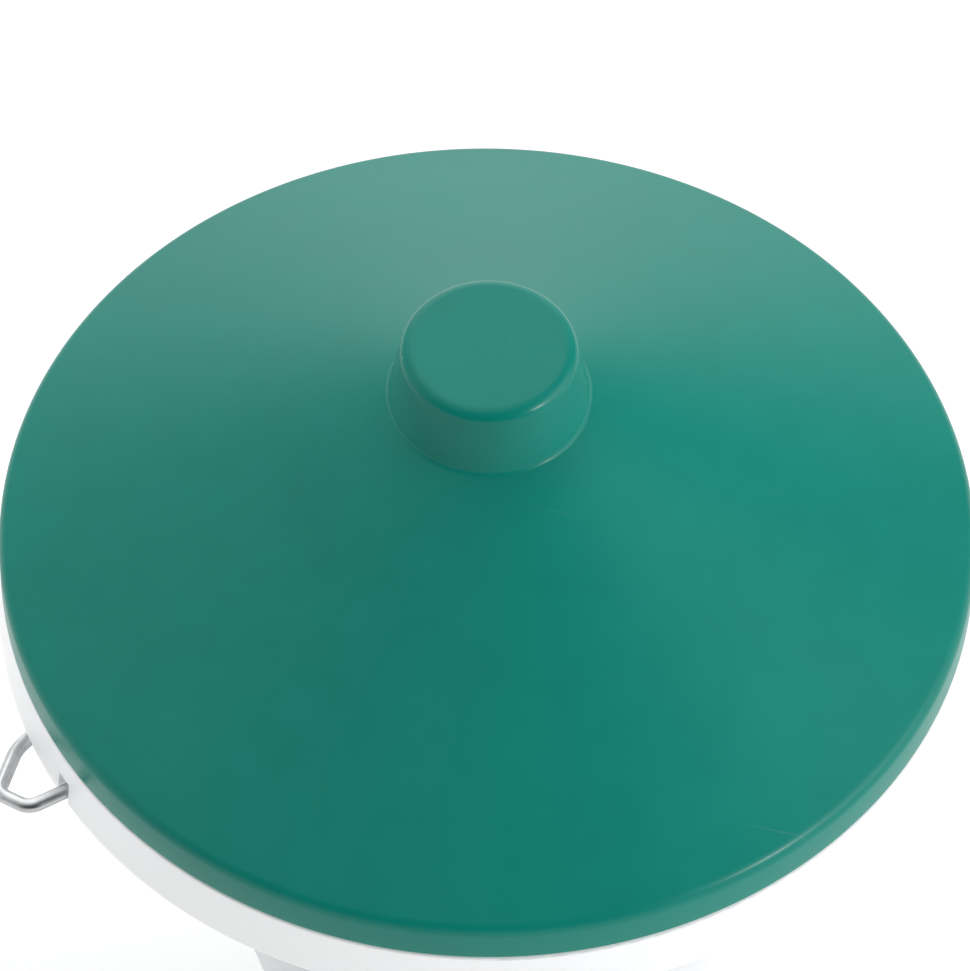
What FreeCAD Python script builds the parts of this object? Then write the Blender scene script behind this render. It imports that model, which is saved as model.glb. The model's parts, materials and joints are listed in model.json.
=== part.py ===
import FreeCAD
import Part
import math
import os

# Round outdoor hopper feeder, millimetres, +Z up.
# Origin: on the turning axis, level with the ground under the four rubber pads.
os.makedirs("parts", exist_ok=True)

V = FreeCAD.Vector
O = V(0, 0, 0)
UP = V(0, 0, 1)

# lid
lid_r = 200.0
lid_wall = 3.0
skirt_bottom = 495.6
cone_corner_z = 513.5
edge_round = 7.0
knob_base_r = 40.8
knob_base_z = 604.0
knob_top_r = 35.1
knob_top_z = 635.0
knob_round = 6.0
rib_in = 186.0
rib_out = 189.0

# hopper
flange_top = 505.0
flange_t = 3.5
neck_r = 196.3
collar_top_r = 200.0
collar_low_r = 201.8
collar_top = 494.4
collar_low = 468.0
collar_wall = 3.5
hopper_r_ref = 109.0
hopper_z_ref = 274.0
hopper_slope = 0.21
hopper_wall = 3.0
cone_low = 172.0
spout_r = 84.0
spout_low = 85.0
gussets = 6

# wire eyes
wire_r = 3.0
pivot_rad = 187.2
pivot_z = 474.0
eye_front_az = 207.6
eye_back_az = 27.6
leg_t = 15.0
foot_t = 27.5
low_leg_t = -25.0
low_foot_t = -37.0
low_mouth_top = 478.0
bend_r = 5.0
block_face = 184.0
block_t = (-39.5, 31.0)
block_low = 469.0
block_top = 488.0
slot_top = 482.0
keeper_t = 3.0
keeper_screw_t = (-35.5, 25.5)
keeper_screw_z = 482.5

# gate
gate_gap = 0.4
gate_wall = 3.2
gate_low = 50.0
gate_h = 50.0
gate_screw_z = 91.0

# pan, spreader, struts
pan_r = 128.0
pan_floor_r = 119.0
pan_low = 8.0
pan_t = 3.0
pan_h = 62.0
spreader_r = 46.0
spreader_top = 50.0
strut_face = 100.0
strut_t = 3.0
strut_w = 20.0
strut_top = 210.0
strut_az = (45.0, 135.0, 225.0, 315.0)
strut_bolt_z = (182.0, 200.0)
foot_bolt_rad = 88.0
pad_rad = 104.0
pad_az = (0.0, 90.0, 180.0, 270.0)
pad_r = 12.0


def save(shape, name):
    shape.exportStep("parts/" + name + ".step")


def rounded_wire(pts):
    """closed outline in the XZ plane from (r, z, corner radius)"""
    n = len(pts)
    ends = []
    for i in range(n):
        p = V(pts[i][0], 0, pts[i][1])
        rad = pts[i][2]
        if rad <= 0:
            ends.append((p, None, p))
            continue
        a = V(pts[i - 1][0], 0, pts[i - 1][1]) - p
        b = V(pts[(i + 1) % n][0], 0, pts[(i + 1) % n][1]) - p
        a.normalize()
        b.normalize()
        half = a.getAngle(b) / 2.0
        cut = rad / math.tan(half)
        mid = a + b
        mid.normalize()
        centre = p + mid * (rad / math.sin(half))
        ends.append((p + a * cut, centre - mid * rad, p + b * cut))
    edges = []
    for i in range(n):
        t0, m, t1 = ends[i]
        if m is not None:
            edges.append(Part.Arc(t0, m, t1).toShape())
        nxt = ends[(i + 1) % n][0]
        if (nxt - t1).Length > 1e-6:
            edges.append(Part.makeLine(t1, nxt))
    return Part.Wire(edges)


def turned(pts):
    face = Part.Face(rounded_wire([p if len(p) == 3 else (p[0], p[1], 0) for p in pts]))
    return face.revolve(O, UP, 360)


def rod(p, direction, radius, length):
    return Part.makeCylinder(radius, length, p, direction)


def at_azimuth(shape, az):
    """shapes are drawn with the radial direction along +X, then turned"""
    s = shape.copy()
    s.rotate(O, UP, az)
    return s


def block(x0, x1, y0, y1, z0, z1):
    return Part.makeBox(x1 - x0, y1 - y0, z1 - z0, V(x0, y0, z0))


def hexagon(centre, direction, across, height):
    pts = []
    side = V(0, 0, 1)
    if abs(direction.z) > 0.9:
        side = V(1, 0, 0)
    other = direction.cross(side)
    for k in range(7):
        a = math.radians(60 * k + 30)
        rad = across / math.sqrt(3)
        pts.append(centre + side * (rad * math.cos(a)) + other * (rad * math.sin(a)))
    return Part.Face(Part.makePolygon(pts)).extrude(direction * height)


def hopper_r(z):
    return hopper_r_ref + hopper_slope * (z - hopper_z_ref)


def make_lid():
    slope = (knob_base_z - cone_corner_z) / (lid_r - knob_base_r)
    drop = lid_wall * math.sqrt(1 + slope * slope)
    inner_r = lid_r - lid_wall

    def under(r):
        return cone_corner_z - drop + (lid_r - r) * slope

    base_in = knob_base_r - 2.2
    top_in = knob_top_r - 2.9
    return turned([
        (0, knob_top_z),
        (knob_top_r, knob_top_z, knob_round),
        (knob_base_r, knob_base_z, 3.5),
        (lid_r, cone_corner_z, edge_round),
        (lid_r, skirt_bottom, 0.8),
        (inner_r, skirt_bottom, 0.8),
        (inner_r, under(inner_r), 4.0),
        (rib_out, under(rib_out)),
        (rib_out, flange_top, 0.6),
        (rib_in, flange_top, 0.6),
        (rib_in, under(rib_in)),
        (base_in, under(base_in), 1.5),
        (top_in, knob_top_z - lid_wall, 3.0),
        (0, knob_top_z - lid_wall),
    ])


def eye_block():
    """thick pad behind the collar carrying one wire eye, radial along +X"""
    pad = block(block_face, 199.5, block_t[0], block_t[1], block_low, block_top)
    outside = Part.makeCylinder(260, 60, V(0, 0, block_low - 20))
    inside = Part.makeCylinder(199.0, 60, V(0, 0, block_low - 20))
    return pad.cut(outside.cut(inside))


def eye_cuts():
    """groove for the feet, a slot through the collar for one leg, a notch for the leg below it"""
    y0 = low_foot_t - 1
    y1 = foot_t + 1
    groove = rod(V(pivot_rad, y0, pivot_z), V(0, 1, 0), wire_r + 0.1, y1 - y0)
    mouth = block(block_face - 1, pivot_rad, y0, y1, pivot_z - wire_r - 0.1, pivot_z + wire_r + 0.1)
    cuts = [groove, mouth]
    cuts.append(rod(V(pivot_rad, leg_t - 4.6, pivot_z), V(0, 1, 0), 8.6, 11.0))
    cuts.append(block(block_face - 1, 206, leg_t - 3.9, leg_t + 3.9, collar_low - 6, slot_top))
    sweep = rod(V(pivot_rad, low_leg_t - 6.4, pivot_z), V(0, 1, 0), 8.6, 11.0)
    below = block(160, 196.2, low_leg_t - 8, low_leg_t + 8, collar_low - 6, low_mouth_top)
    cuts.append(sweep.common(below))
    cuts.append(block(block_face - 1, 196.2, low_leg_t - 3.9, low_leg_t + 3.9, collar_low - 6, low_mouth_top))
    for t in keeper_screw_t:
        cuts.append(rod(V(block_face - 1, t, keeper_screw_z), V(1, 0, 0), 2.0, 11))
    return cuts


def make_hopper():
    inner = hopper_wall * math.sqrt(1 + hopper_slope ** 2)
    r_low = hopper_r(cone_low)
    under = flange_top - flange_t
    body = turned([
        (spout_r - 3, spout_low, 0.8),
        (spout_r, spout_low, 0.8),
        (spout_r, cone_low - 2),
        (r_low, cone_low, 1.0),
        (hopper_r(under), under, 3.0),
        (neck_r - 3.4, under, 2.0),
        (neck_r - 3.4, collar_top - 3.0, 1.0),
        (collar_top_r - collar_wall, collar_top - 3.4, 1.5),
        (collar_low_r - collar_wall, collar_low, 1.4),
        (collar_low_r, collar_low, 1.6),
        (collar_top_r, collar_top, 1.0),
        (neck_r, collar_top, 1.0),
        (neck_r, flange_top, 1.2),
        (hopper_r(flange_top) - inner, flange_top, 1.5),
        (r_low - inner, cone_low, 2.0),
        (spout_r - 3, cone_low - 3, 2.0),
    ])
    adds = []
    for k in range(gussets):
        az = eye_back_az + 30 + 60 * k
        low = under - 21.5
        web = block(146, 194, -1.3, 1.3, low, under + 1)
        tip = Part.Face(Part.makePolygon([V(146, -5, low - 1), V(196, -5, low - 1), V(196, -5, low + 12),
                                          V(146, -5, low - 1)])).extrude(V(0, 10, 0))
        core = Part.makeCone(hopper_r(low - 8) - 1.5, hopper_r(low + 32) - 1.5, 40, V(0, 0, low - 8))
        adds.append(at_azimuth(web.cut(tip).cut(core), az))
    for az in (eye_front_az, eye_back_az):
        adds.append(at_azimuth(eye_block(), az))
    for az in strut_az:
        pad = block(80, strut_face, -13, 13, cone_low + 1, strut_top + 2)
        core = Part.makeCone(hopper_r(cone_low - 10) - 1.5, hopper_r(cone_low + 60) - 1.5, 70,
                             V(0, 0, cone_low - 10))
        adds.append(at_azimuth(pad.cut(core), az))
    body = body.multiFuse(adds)
    cuts = []
    for az in (eye_front_az, eye_back_az):
        for c in eye_cuts():
            cuts.append(at_azimuth(c, az))
    for az in strut_az:
        for z in strut_bolt_z:
            cuts.append(at_azimuth(rod(V(strut_face - 10, 0, z), V(1, 0, 0), 3.0, 20), az))
    return body.cut(Part.makeCompound(cuts)).removeSplitter()


def eye_path():
    """one eye lying flat and pointing out along +X, as corner points; one leg passes under the collar"""
    return [
        V(pivot_rad, low_foot_t, pivot_z),
        V(pivot_rad, low_leg_t, pivot_z),
        V(192.5, low_leg_t, 461.8),
        V(206.5, -18.3, 464.3),
        V(224.0, 1.6, 469.8),
        V(216.4, leg_t + 0.4, 472.5),
        V(pivot_rad, leg_t, pivot_z),
        V(pivot_rad, foot_t, pivot_z),
    ]


def bent_wire(pts, radius, bends):
    edges = []
    last = pts[0]
    for i in range(1, len(pts) - 1):
        p = pts[i]
        a = pts[i - 1] - p
        b = pts[i + 1] - p
        a.normalize()
        b.normalize()
        half = a.getAngle(b) / 2.0
        cut = bends[i - 1] / math.tan(half)
        mid = a + b
        mid.normalize()
        centre = p + mid * (bends[i - 1] / math.sin(half))
        t0 = p + a * cut
        t1 = p + b * cut
        edges.append(Part.makeLine(last, t0))
        edges.append(Part.Arc(t0, centre - mid * bends[i - 1], t1).toShape())
        last = t1
    edges.append(Part.makeLine(last, pts[-1]))
    spine = Part.Wire(edges)
    start = pts[1] - pts[0]
    ring = Part.Wire([Part.makeCircle(radius, pts[0], start)])
    return spine.makePipeShell([ring], True, False)


def make_eye(az, drop):
    s = bent_wire(eye_path(), wire_r, (bend_r, bend_r, 25.0, 7.0, 7.0, bend_r))
    s.rotate(V(pivot_rad, 0, pivot_z), V(0, 1, 0), drop)
    return at_azimuth(s, az)


def make_keeper(az):
    plate = block(block_face - keeper_t, block_face, block_t[0], block_t[1], block_low, block_top)
    notch = block(block_face - 6, block_face + 1, low_leg_t - 6, leg_t + 5.5, block_low - 5, block_low + 10)
    plate = plate.cut(notch)
    for t in keeper_screw_t:
        plate = plate.cut(rod(V(170, t, keeper_screw_z), V(1, 0, 0), 2.2, 30))
    return at_azimuth(plate, az)


def make_keeper_screws(az):
    out = []
    for t in keeper_screw_t:
        p = V(block_face - keeper_t, t, keeper_screw_z)
        head = rod(p - V(2.6, 0, 0), V(1, 0, 0), 4.0, 2.6)
        head = head.makeFillet(1.0, [head.Edges[2]])
        slot = block(p.x - 4, p.x - 1.4, p.y - 0.6, p.y + 0.6, p.z - 5, p.z + 5)
        shank = rod(p, V(1, 0, 0), 1.95, 12)
        out.append(head.fuse(shank).cut(slot).removeSplitter())
    return at_azimuth(Part.makeCompound(out), az)


def make_gate():
    r_in = spout_r + gate_gap
    r_out = r_in + gate_wall
    top = gate_low + gate_h
    sleeve = turned([
        (r_in, gate_low, 0.8),
        (r_out + 3, gate_low, 1.5),
        (r_out + 3, gate_low + 4, 1.5),
        (r_out, gate_low + 4, 1.0),
        (r_out, top, 1.0),
        (r_in, top, 0.8),
    ])
    for az in (0, 180):
        boss = rod(V(r_in + 1.0, 0, gate_screw_z), V(1, 0, 0), 7.5, 9.0)
        sleeve = sleeve.fuse(at_azimuth(boss, az))
    for az in (0, 180):
        hole = rod(V(80, 0, gate_screw_z), V(1, 0, 0), 2.55, 30)
        sleeve = sleeve.cut(at_azimuth(hole, az))
    return sleeve.removeSplitter()


def make_gate_screw(az):
    shank = rod(V(spout_r + 0.3, 0, gate_screw_z), V(1, 0, 0), 2.5, 13.0)
    head = rod(V(spout_r + 12.3, 0, gate_screw_z), V(1, 0, 0), 9.0, 8.0)
    cuts = []
    for k in range(12):
        a = math.radians(30 * k)
        p = V(spout_r + 11, 9.6 * math.cos(a), gate_screw_z + 9.6 * math.sin(a))
        cuts.append(rod(p, V(1, 0, 0), 1.3, 11))
    head = head.cut(Part.makeCompound(cuts))
    return at_azimuth(head.fuse(shank).removeSplitter(), az)


def make_pan():
    top = pan_h
    pan = turned([
        (0, pan_low),
        (pan_floor_r, pan_low, 8.0),
        (pan_r, top - 5, 3.0),
        (pan_r, top, 2.0),
        (pan_r - 11, top, 1.0),
        (pan_r - 11, top - 2.6, 1.0),
        (pan_r - 3, top - 2.6, 1.5),
        (pan_r - 3, top - 5, 3.0),
        (pan_floor_r - 2.2, pan_low + pan_t, 6.0),
        (0, pan_low + pan_t),
    ])
    for az in strut_az:
        pan = pan.cut(at_azimuth(rod(V(foot_bolt_rad, 0, 0), UP, 3.2, 30), az))
    for az in pad_az:
        pan = pan.cut(at_azimuth(rod(V(pad_rad, 0, 0), UP, 3.6, 30), az))
    return pan.cut(rod(O, UP, 2.6, 30))


def make_spreader():
    z0 = pan_low + pan_t
    cone = turned([
        (3.2, spreader_top),
        (9.0, spreader_top, 2.0),
        (spreader_r, z0 + 3, 2.0),
        (spreader_r, z0, 0.6),
        (spreader_r - 4, z0, 0.6),
        (7.2, spreader_top - 3.2, 1.0),
        (3.2, spreader_top - 3.2),
    ])
    return cone


def make_spreader_bolt():
    top = spreader_top
    head = rod(V(0, 0, top), UP, 5.5, 3.2)
    head = head.makeFillet(1.4, [head.Edges[0]])
    socket = hexagon(V(0, 0, top + 1.2), UP, 3.0, 3.0)
    return head.fuse(rod(V(0, 0, 3.0), UP, 2.5, top - 3.0)).cut(socket).removeSplitter()


def make_spreader_nut():
    nut = hexagon(V(0, 0, pan_low - 4.2), UP, 8.0, 4.2)
    return nut.cut(rod(O, UP, 2.52, 30))


def make_strut(az):
    out = strut_face + strut_t
    half = strut_w / 2.0
    z0 = pan_low + pan_t
    foot_in = foot_bolt_rad - 11
    profile = [
        (strut_face, strut_top, 0), (strut_face, z0 + strut_t, 2.0),
        (foot_in, z0 + strut_t, 0), (foot_in, z0, 0),
        (out, z0, 5.0), (out, strut_top, 0),
    ]
    bar = Part.Face(rounded_wire(profile)).extrude(V(0, strut_w, 0))
    bar.translate(V(0, -half, 0))
    for z in strut_bolt_z:
        bar = bar.cut(rod(V(strut_face - 10, 0, z), V(1, 0, 0), 3.2, 20))
    bar = bar.cut(rod(V(foot_bolt_rad, 0, 0), UP, 3.2, 30))
    ends = [e for e in bar.Edges if e.Length < strut_t + 0.1 and
            (abs(e.BoundBox.ZMin - strut_top) < 0.01 or abs(e.BoundBox.XMax - foot_in) < 0.01)]
    ends = [e for e in ends if abs(e.Length - strut_t) < 0.01]
    return at_azimuth(bar.makeFillet(5.0, ends), az)


def make_strut_screws(az):
    out = []
    for z in strut_bolt_z:
        p = V(strut_face + strut_t, 0, z)
        washer_free = p
        head = hexagon(washer_free, V(1, 0, 0), 10.0, 4.0)
        shank = rod(p - V(strut_t + 9.0, 0, 0), V(1, 0, 0), 2.98, strut_t + 9.0)
        out.append(head.fuse(shank).removeSplitter())
    return at_azimuth(Part.makeCompound(out), az)


def make_foot_bolts():
    out = []
    z0 = pan_low + pan_t + strut_t
    for az in strut_az:
        p = V(foot_bolt_rad, 0, z0)
        bolt = hexagon(p, UP, 10.0, 4.0).fuse(rod(V(foot_bolt_rad, 0, 2.5), UP, 3.0, z0 - 2.5))
        out.append(at_azimuth(bolt.removeSplitter(), az))
    return Part.makeCompound(out)


def make_foot_nuts():
    out = []
    for az in strut_az:
        nut = hexagon(V(foot_bolt_rad, 0, 3.0), UP, 10.0, 5.0)
        nut = nut.cut(rod(V(foot_bolt_rad, 0, 0), UP, 3.02, 20))
        out.append(at_azimuth(nut, az))
    return Part.makeCompound(out)


def make_pad(az):
    floor = pan_low + pan_t
    pad = turned([
        (0, 0), (pad_r, 0, 1.5), (pad_r, pan_low, 0.8), (3.5, pan_low),
        (3.5, floor), (5.0, floor, 0.6), (3.6, floor + 4, 1.2), (0, floor + 4),
    ])
    pad.translate(V(pad_rad, 0, 0))
    return at_azimuth(pad, az)


save(make_lid(), "lid")
save(make_hopper(), "hopper")
save(make_eye(eye_front_az, 0), "eye_front")
save(make_eye(eye_back_az, 90), "eye_back")
save(make_keeper(eye_front_az), "keeper_front")
save(make_keeper(eye_back_az), "keeper_back")
save(make_keeper_screws(eye_front_az), "keeper_front_screws")
save(make_keeper_screws(eye_back_az), "keeper_back_screws")
save(make_gate(), "gate_sleeve")
save(make_gate_screw(0), "gate_screw_right")
save(make_gate_screw(180), "gate_screw_left")
save(make_pan(), "feed_pan")
save(make_spreader(), "spreader_cone")
save(make_spreader_bolt(), "spreader_bolt")
save(make_spreader_nut(), "spreader_nut")
for k, tag in enumerate(("a", "b", "c", "d")):
    save(make_strut(strut_az[k]), "strut_" + tag)
    save(make_strut_screws(strut_az[k]), "strut_screws_" + tag)
    save(make_pad(pad_az[k]), "foot_pad_" + tag)
save(make_foot_bolts(), "foot_bolts")
save(make_foot_nuts(), "foot_nuts")
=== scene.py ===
import json
import math
import bmesh
import bpy
from mathutils import Matrix, Vector


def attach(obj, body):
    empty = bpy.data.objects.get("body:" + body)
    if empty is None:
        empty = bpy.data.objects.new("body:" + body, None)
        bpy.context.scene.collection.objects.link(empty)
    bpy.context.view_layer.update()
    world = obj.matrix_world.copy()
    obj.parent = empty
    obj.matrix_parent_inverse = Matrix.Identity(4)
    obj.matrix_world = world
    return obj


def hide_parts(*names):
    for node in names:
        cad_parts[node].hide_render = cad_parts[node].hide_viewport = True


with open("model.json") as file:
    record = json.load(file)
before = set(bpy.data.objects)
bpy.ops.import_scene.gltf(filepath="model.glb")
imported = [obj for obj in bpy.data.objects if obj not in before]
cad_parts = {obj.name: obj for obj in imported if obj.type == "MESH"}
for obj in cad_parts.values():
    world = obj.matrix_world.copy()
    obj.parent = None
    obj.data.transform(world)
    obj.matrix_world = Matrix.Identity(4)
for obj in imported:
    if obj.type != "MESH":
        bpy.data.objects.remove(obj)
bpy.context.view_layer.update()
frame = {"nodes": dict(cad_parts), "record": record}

nodes = frame["nodes"]
scene = bpy.context.scene

LID_R = 0.200                 # lid radius
RIM_Z = 0.512                 # height of the lid's rim edge above the ground
COLLAR_LOW = 0.462            # just under the hopper's collar
KNOB_LOW = 0.602              # foot of the lid's knob


# ---------------------------------------------------------------- materials
class Mat:
    """small helper that lays out a node material"""

    def __init__(self, name):
        self.m = bpy.data.materials.new(name)
        self.m.use_nodes = True
        self.t = self.m.node_tree
        self.t.nodes.clear()
        self.out = self.t.nodes.new("ShaderNodeOutputMaterial")
        self.p = self.t.nodes.new("ShaderNodeBsdfPrincipled")
        self.t.links.new(self.p.outputs[0], self.out.inputs[0])
        self.co = self.t.nodes.new("ShaderNodeTexCoord").outputs["Object"]

    def node(self, kind, **values):
        n = self.t.nodes.new(kind)
        for k, v in values.items():
            if hasattr(n, k):
                setattr(n, k, v)
            else:
                n.inputs[k.replace("_", " ")].default_value = v
        return n

    def link(self, a, b):
        self.t.links.new(a, b)

    def mapping(self, scale=(1, 1, 1), rotation=(0, 0, 0), location=(0, 0, 0)):
        n = self.node("ShaderNodeMapping")
        n.inputs["Scale"].default_value = scale
        n.inputs["Rotation"].default_value = rotation
        n.inputs["Location"].default_value = location
        self.link(self.co, n.inputs["Vector"])
        return n.outputs[0]

    def noise(self, scale, detail=4.0, rough=0.55, vec=None):
        n = self.node("ShaderNodeTexNoise", Scale=scale, Detail=detail, Roughness=rough)
        self.link(vec or self.co, n.inputs["Vector"])
        return n.outputs["Fac"]

    def voronoi(self, scale, vec=None, out="Distance"):
        n = self.node("ShaderNodeTexVoronoi", Scale=scale)
        self.link(vec or self.co, n.inputs["Vector"])
        return n.outputs[out]

    def rng(self, fac, a, b, c, d):
        n = self.node("ShaderNodeMapRange")
        for k, v in zip(("From Min", "From Max", "To Min", "To Max"), (a, b, c, d)):
            n.inputs[k].default_value = v
        self.link(fac, n.inputs[0])
        return n.outputs[0]

    def math(self, op, a, b):
        n = self.node("ShaderNodeMath", operation=op)
        for i, v in enumerate((a, b)):
            if isinstance(v, (int, float)):
                n.inputs[i].default_value = v
            else:
                self.link(v, n.inputs[i])
        return n.outputs[0]

    def mix(self, fac, a, b, blend="MIX"):
        n = self.node("ShaderNodeMix", data_type="RGBA", blend_type=blend)
        for sock, v in ((n.inputs[0], fac), (n.inputs[6], a), (n.inputs[7], b)):
            if isinstance(v, (int, float)):
                sock.default_value = v
            elif isinstance(v, (tuple, list)):
                sock.default_value = (*v[:3], 1)
            else:
                self.link(v, sock)
        return n.outputs[2]

    def bump(self, height, strength, distance, below=None):
        n = self.node("ShaderNodeBump", Strength=strength, Distance=distance)
        self.link(height, n.inputs["Height"])
        if below is not None:
            self.link(below, n.inputs["Normal"])
        return n.outputs[0]

    def done(self, color=None, rough=None, normal=None, **values):
        if color is not None:
            self.link(color, self.p.inputs["Base Color"])
        if rough is not None:
            self.link(rough, self.p.inputs["Roughness"])
        if normal is not None:
            self.link(normal, self.p.inputs["Normal"])
        for k, v in values.items():
            self.p.inputs[k.replace("_", " ")].default_value = v
        return self.m


def moulded(name, base, dark, rough, grain=0.18, dust=0.10, scratch=0.11, seed=0.0,
            rim=None, grip=None, **extra):
    """satin moulded plastic: soft mottling, fine skin, dust specks and hairline rubs; above the height rim
    it is painted lighter and given a glow, which is painted light since the plastic is no lamp, while below
    it the colour is greyer and glows at a quarter; above the height grip hands have worn it smoother"""
    m = Mat(name)
    shift = m.mapping(location=(seed, seed * 0.7, seed * 1.3))
    broad = m.noise(5.0, 3.0, 0.5, shift)
    mid = m.noise(38.0, 5.0, 0.6, shift)
    skin = m.noise(900.0, 3.0, 0.6, shift)
    col = m.mix(m.rng(broad, 0.35, 0.65, 0.0, 1.0), dark, base)
    col = m.mix(m.rng(mid, 0.3, 0.75, 0.0, 0.10), col, (1, 1, 1), "SOFT_LIGHT")
    # dust and nicks: small round dots, only in some cells
    cell = m.voronoi(62.0, shift, "Distance")
    keep = m.noise(17.0, 2.0, 0.5, shift)
    dot = m.math("MULTIPLY", m.rng(cell, 0.020, 0.045, 1.0, 0.0),
                 m.rng(keep, 0.56, 0.60, 0.0, 1.0))
    # hairline rubs in two directions
    line_a = m.noise(9.0, 2.0, 0.4, m.mapping((1.0, 90.0, 1.0), (0.3, 0.2, 0.65), (seed, 0, 0)))
    line_b = m.noise(7.0, 2.0, 0.4, m.mapping((80.0, 1.0, 1.0), (0.2, 0.1, -0.35), (0, seed, 0)))
    gate = m.rng(m.noise(11.0, 2.0, 0.5, shift), 0.58, 0.70, 0.0, 1.0)
    lines = m.math("ADD", m.rng(line_a, 0.715, 0.745, 0, 1), m.rng(line_b, 0.715, 0.745, 0, 1))
    rub = m.math("MULTIPLY", gate, lines)
    marks = m.math("ADD", m.math("MULTIPLY", dot, dust * 4), m.math("MULTIPLY", rub, scratch))
    marks = m.math("MINIMUM", marks, 1.0)
    col = m.mix(m.math("MULTIPLY", marks, 0.35), col, (0.75, 0.80, 0.78))
    place = m.node("ShaderNodeSeparateXYZ")
    m.link(m.co, place.inputs[0])
    if rim is not None:
        # painted light: above rim the colour stays lighter and glows fully, below it is greyed and glows at
        # a quarter
        painted_glow_mask = m.rng(place.outputs["Z"], rim - 0.006, rim, 0.0, 1.0)
        col = m.mix(painted_glow_mask, m.mix(1.0, col, (0.86, 0.865, 0.87), "MULTIPLY"), col)
        m.link(m.mix(painted_glow_mask, (0.25, 0.25, 0.25), (1, 1, 1)), m.p.inputs["Emission Color"])
    r = m.rng(mid, 0.25, 0.75, rough - 0.035, rough + 0.045)
    r = m.math("ADD", r, m.math("MULTIPLY", rub, 0.12))
    if grip is not None:
        r = m.math("SUBTRACT", r, m.rng(place.outputs["Z"], grip, grip + 0.01, 0.0, 0.12))
    n = m.bump(skin, grain, 0.00012)
    n = m.bump(mid, 0.06, 0.0008, n)
    n = m.bump(broad, 0.10, 0.003, n)
    return m.done(col, r, n, **extra)


def galvanised(name, tint, rough, scale=160.0):
    """bright zinc on steel: spangle, fine grain and dull patches"""
    m = Mat(name)
    spangle = m.voronoi(scale, None, "Color")
    patch = m.noise(70.0, 5.0, 0.6)
    fine = m.noise(1500.0, 2.0, 0.5)
    hue = m.node("ShaderNodeRGBToBW")
    m.link(spangle, hue.inputs[0])
    dark = tuple(c * 0.62 for c in tint)
    col = m.mix(m.rng(patch, 0.3, 0.7, 0.0, 1.0), dark, tint)
    col = m.mix(m.rng(hue.outputs[0], 0.0, 1.0, 0.0, 0.25), col, (0.82, 0.83, 0.84))
    r = m.math("ADD", m.rng(patch, 0.3, 0.7, rough + 0.10, rough - 0.06),
               m.rng(fine, 0.3, 0.7, 0.0, 0.05))
    n = m.bump(fine, 0.15, 0.00008, m.bump(patch, 0.12, 0.0004))
    return m.done(col, r, n, Metallic=1.0)


def plain_black(name, base, rough, bumpy, scale):
    """black plastic or rubber with a fine moulded texture"""
    m = Mat(name)
    a = m.noise(scale, 4.0, 0.6)
    b = m.noise(60.0, 3.0, 0.5)
    col = m.mix(m.rng(b, 0.3, 0.7, 0.0, 1.0), tuple(c * 0.6 for c in base), base)
    r = m.rng(b, 0.3, 0.7, rough - 0.06, rough + 0.06)
    return m.done(col, r, m.bump(a, bumpy, 0.0002))


GREEN = moulded("lid_green", (0.0032, 0.219, 0.171), (0.0028, 0.199, 0.155), 0.34,
                seed=0.37, grip=KNOB_LOW,
                Specular_IOR_Level=0.12, Coat_Weight=0.15, Coat_Roughness=0.16)
# painted light: the collar band above COLLAR_LOW is kept lighter and glows, the wall below is greyer and
# glows less; the plastic is no lamp
WHITE = moulded("hopper_white", (0.86, 0.87, 0.88), (0.80, 0.815, 0.83), 0.45, grain=0.15,
                dust=0.0, scratch=0.0, seed=1.9, rim=COLLAR_LOW, Emission_Strength=0.16)
PAN = moulded("pan_green", (0.0048, 0.195, 0.150), (0.0043, 0.170, 0.131), 0.44, seed=2.6,
              Specular_IOR_Level=0.15, Coat_Weight=0.3, Coat_Roughness=0.24)
WIRE = galvanised("galvanised_wire", (0.55, 0.56, 0.57), 0.30)
STRIP = galvanised("galvanised_strip", (0.52, 0.53, 0.545), 0.36, 110.0)
ZINC = galvanised("zinc_fastener", (0.66, 0.66, 0.65), 0.26, 300.0)
BLACK = plain_black("black_plastic", (0.030, 0.030, 0.032), 0.46, 0.3, 1400.0)
RUBBER = plain_black("rubber", (0.022, 0.022, 0.022), 0.70, 0.4, 700.0)
BY_SLOT = {"lid_green": GREEN, "hopper_white": WHITE, "pan_green": PAN, "galvanised_wire": WIRE,
           "galvanised_strip": STRIP, "zinc_fastener": ZINC, "black_plastic": BLACK, "rubber": RUBBER}
SLOT = {s["node"]: s["material_slot"] for s in frame["record"]["subparts"]}
for name, o in nodes.items():
    o.data.materials.clear()
    o.data.materials.append(BY_SLOT[SLOT[name]])


# ---------------------------------------------------------------- turned pieces
def rounded(pts, step=math.radians(6)):
    """outline points (r, z) in mm with corner radii, closed, arcs cut finely"""
    out = []
    n = len(pts)
    for i in range(n):
        p = Vector(pts[i][:2])
        rad = pts[i][2] if len(pts[i]) > 2 else 0
        if rad <= 0:
            out.append(p)
            continue
        a = (Vector(pts[i - 1][:2]) - p).normalized()
        b = (Vector(pts[(i + 1) % n][:2]) - p).normalized()
        half = a.angle(b) / 2
        c = p + (a + b).normalized() * (rad / math.sin(half))
        s, e = p + a * (rad / math.tan(half)) - c, p + b * (rad / math.tan(half)) - c
        turn = s.angle_signed(e)
        k = max(3, int(abs(turn) / step))
        for j in range(k + 1):
            out.append(c + Matrix.Rotation(-turn * j / k, 2) @ s)
    return out


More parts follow.
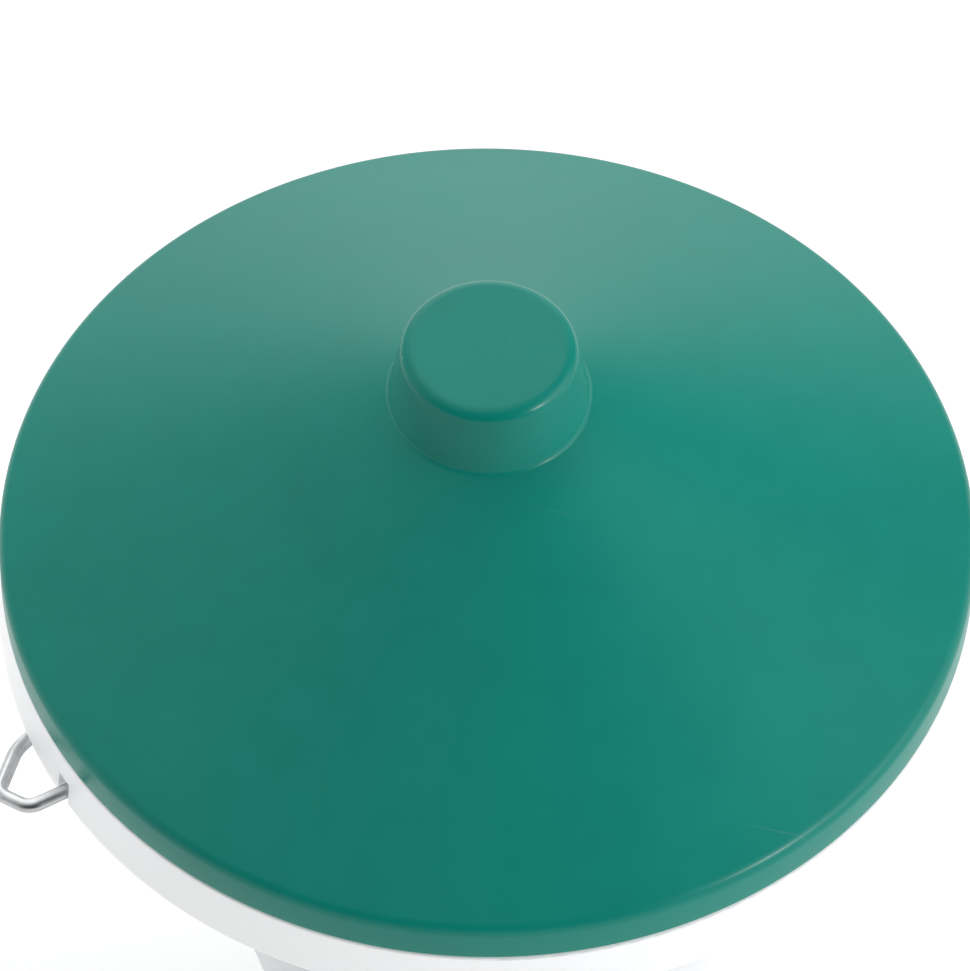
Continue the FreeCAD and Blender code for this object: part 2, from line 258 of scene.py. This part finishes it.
def turned(name, pts, segments=360):
    """solid of revolution about the Z axis from outline points in mm"""
    outline = [p / 1000 for p in rounded(pts)]
    bm = bmesh.new()
    rings = []
    for p in outline:
        if p.x < 1e-6:
            rings.append([bm.verts.new((0, 0, p.y))])
            continue
        rings.append([bm.verts.new((p.x * math.cos(2 * math.pi * k / segments),
                                    p.x * math.sin(2 * math.pi * k / segments), p.y))
                      for k in range(segments)])
    n = len(rings)
    for i in range(n):
        a, b = rings[i], rings[(i + 1) % n]
        if len(a) == 1 and len(b) == 1:
            continue
        for k in range(segments):
            l = (k + 1) % segments
            if len(a) == 1:
                bm.faces.new((a[0], b[k], b[l]))
            elif len(b) == 1:
                bm.faces.new((a[k], b[0], a[l]))
            else:
                bm.faces.new((a[k], b[k], b[l], a[l]))
    bmesh.ops.recalc_face_normals(bm, faces=bm.faces)
    mesh = bpy.data.meshes.new(name)
    bm.to_mesh(mesh)
    bm.free()
    o = bpy.data.objects.new(name, mesh)
    scene.collection.objects.link(o)
    smooth(o, 28)
    return o


def select(o):
    for other in bpy.context.selected_objects:
        other.select_set(False)
    o.select_set(True)
    bpy.context.view_layer.objects.active = o


def smooth(o, degrees):
    select(o)
    bpy.ops.object.shade_smooth_by_angle(angle=math.radians(degrees))


def put(o, body, material, slot, *replaced):
    """give a new piece its material and its body, and hide the CAD nodes it stands for; the slot argument
    is not used
    """
    o.data.materials.clear()
    o.data.materials.append(material)
    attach(o, body)
    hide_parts(*replaced)
    return o


# the lid's outline, (radius, height) in mm, with the same driving sizes as its CAD solid
RIM_R, CORNER, SKIRT_LOW = 200, 513.5, 495.6
KNOB_R, KNOB_FOOT_R, KNOB_FOOT, KNOB_TOP = 35.1, 40.8, 604.0, 635
RIB_OUT, RIB_IN, RIB_LOW = 189, 186, 505
WALL = 3
SLOPE = (KNOB_FOOT - CORNER) / (RIM_R - KNOB_FOOT_R)
DROP = WALL * math.sqrt(1 + SLOPE * SLOPE)


def under(r):
    """height of the cone's underside at radius r"""
    return CORNER - DROP + (RIM_R - r) * SLOPE


INSIDE_R = KNOB_FOOT_R - 2.2
lid = turned("lid_shell", [
    (0, KNOB_TOP), (KNOB_R, KNOB_TOP, 6), (KNOB_FOOT_R, KNOB_FOOT, 3.5), (RIM_R, CORNER, 7),
    (RIM_R, SKIRT_LOW, 0.8), (RIM_R - WALL, SKIRT_LOW, 0.8), (RIM_R - WALL, under(RIM_R - WALL), 4),
    (RIB_OUT, under(RIB_OUT)), (RIB_OUT, RIB_LOW, 0.6), (RIB_IN, RIB_LOW, 0.6), (RIB_IN, under(RIB_IN)),
    (INSIDE_R, under(INSIDE_R), 1.5), (32.2, KNOB_TOP - WALL, 3), (0, KNOB_TOP - WALL)])
put(lid, "lid", GREEN, "lid_green", "lid")


# ---------------------------------------------------------------- wire eyes
WIRE_R = 0.003
PIVOT = Vector((0.1872, 0, 0.474))
EYE_AZ = {"eye_front": (207.6, 0.0), "eye_back": (27.6, 90.0)}     # azimuth, and drop from flat at rest
# corner points (out, along, up) in mm of one eye lying flat, and the radius of each bend
EYE_PATH = (
    (187.2, -37, 474), (187.2, -25, 474), (192.5, -25, 461.8), (206.5, -18.3, 464.3),
    (224.0, 1.6, 469.8), (216.4, 15.4, 472.5), (187.2, 15, 474), (187.2, 27.5, 474))
EYE_BENDS = (5, 5, 25, 7, 7, 5)
BEND_STEPS = 16


def eye(name):
    """one wire eye, bent along the same path as its CAD solid and turned to its place"""
    az, drop = EYE_AZ[name]
    pts = [Vector(p) for p in EYE_PATH]
    path = [pts[0]]
    for i in range(1, len(pts) - 1):
        p = pts[i]
        rad = EYE_BENDS[i - 1]
        a = (pts[i - 1] - p).normalized()
        b = (pts[i + 1] - p).normalized()
        half = a.angle(b) / 2
        c = p + (a + b).normalized() * (rad / math.sin(half))
        s, e = p + a * (rad / math.tan(half)) - c, p + b * (rad / math.tan(half)) - c
        for j in range(BEND_STEPS + 1):
            path.append(c + s.slerp(e, j / BEND_STEPS).normalized() * rad)
    path.append(pts[-1])
    swing = (Matrix.Translation(PIVOT) @ Matrix.Rotation(math.radians(drop), 4, "Y")
             @ Matrix.Translation(-PIVOT))
    turn = Matrix.Rotation(math.radians(az), 4, "Z")
    curve = bpy.data.curves.new(name + "_wire", "CURVE")
    curve.dimensions = "3D"
    curve.bevel_depth = WIRE_R
    curve.bevel_resolution = 8
    curve.use_fill_caps = True
    sp = curve.splines.new("POLY")
    sp.points.add(len(path) - 1)
    for i, q in enumerate(path):
        sp.points[i].co = (*(turn @ swing @ (q / 1000)), 1)
    o = bpy.data.objects.new(name + "_wire", curve)
    scene.collection.objects.link(o)
    select(o)
    bpy.ops.object.convert(target="MESH")
    o = bpy.context.view_layer.objects.active
    smooth(o, 40)
    put(o, name, WIRE, "galvanised_wire", name)


for name in EYE_AZ:
    eye(name)


# ---------------------------------------------------------------- stage, light, camera
FLOOR_R = 14
floor_mat = Mat("floor_pale")
tone = floor_mat.noise(3.0, 2.0, 0.5)
tone = floor_mat.rng(tone, 0.3, 0.7, 0, 1)
floor_mat.done(floor_mat.mix(tone, (0.90, 0.90, 0.90), (0.92, 0.92, 0.92)),
               Roughness=0.9, Emission_Strength=0.19, Emission_Color=(1, 1, 1, 1))
bpy.ops.mesh.primitive_circle_add(vertices=96, radius=FLOOR_R, fill_type="NGON", location=(0, 0, 0))
floor = bpy.context.object
floor.name = "floor"
floor.data.materials.append(floor_mat.m)

# studio lights: azimuth and height in degrees, strength, and tightness (a higher number is a smaller light)
LIGHTS = {
    "right_wall": (350, 13, 4.0, 9),
    "back_wall": (90, 12, 2.0, 6),
    "left_wall": (180, 12, 1.2, 8),
    "high_back": (110, 42, 1.5, 4),
    "ceiling": (150, 75, 1.5, 6),
    "key": (327, 18, 40.0, 200),
}
AMBIENT = 0.02
world = bpy.data.worlds.new("studio")
scene.world = world
world.use_nodes = True
sky = world.node_tree
sky.nodes.clear()
ray = sky.nodes.new("ShaderNodeTexCoord").outputs["Generated"]


def sky_math(operation, source, *values):
    n = sky.nodes.new("ShaderNodeMath")
    n.operation = operation
    for i, v in enumerate(values, 1):
        n.inputs[i].default_value = v
    sky.links.new(source, n.inputs[0])
    return n


total = None
for azimuth, height, strength, tight in LIGHTS.values():
    a, h = math.radians(azimuth), math.radians(height)
    facing = sky.nodes.new("ShaderNodeVectorMath")
    facing.operation = "DOT_PRODUCT"
    facing.inputs[1].default_value = (math.cos(a) * math.cos(h), math.sin(a) * math.cos(h), math.sin(h))
    sky.links.new(ray, facing.inputs[0])
    front = sky_math("MAXIMUM", facing.outputs["Value"], 0.0)
    soft = sky_math("POWER", front.outputs[0], tight)
    add = sky_math("MULTIPLY_ADD", soft.outputs[0], strength, AMBIENT)
    if total is not None:
        sky.links.new(total, add.inputs[2])
    total = add.outputs[0]
glow = sky.nodes.new("ShaderNodeBackground")
sky.links.new(total, glow.inputs["Strength"])
sky.links.new(glow.outputs[0], sky.nodes.new("ShaderNodeOutputWorld").inputs[0])

ELEVATION = math.radians(53.33)
ROLL = 0.0106
LENS, SENSOR = 331.9, 36
# the camera's place from the rim's centre, in lid radii
DISTANCE, SIDE, RISE = 18.34, -0.0057, 0.0885
back = Vector((0, -math.cos(ELEVATION), math.sin(ELEVATION)))
right = Vector((1, 0, 0))
up = Vector((0, math.sin(ELEVATION), math.cos(ELEVATION)))
cam = bpy.data.objects.new("camera", bpy.data.cameras.new("camera"))
scene.collection.objects.link(cam)
cam.data.sensor_width = SENSOR
cam.data.lens = LENS
cam_right = right * math.cos(ROLL) + up * math.sin(ROLL)
cam_up = -right * math.sin(ROLL) + up * math.cos(ROLL)
place = Matrix((cam_right, cam_up, back)).transposed().to_4x4()
place.translation = (back * DISTANCE + right * SIDE + up * RISE) * LID_R + Vector((0, 0, RIM_Z))
cam.matrix_world = place
cam.data.clip_start, cam.data.clip_end = 0.05, 100
scene.camera = cam
scene.view_settings.view_transform = "Standard"
scene.view_settings.look = "None"
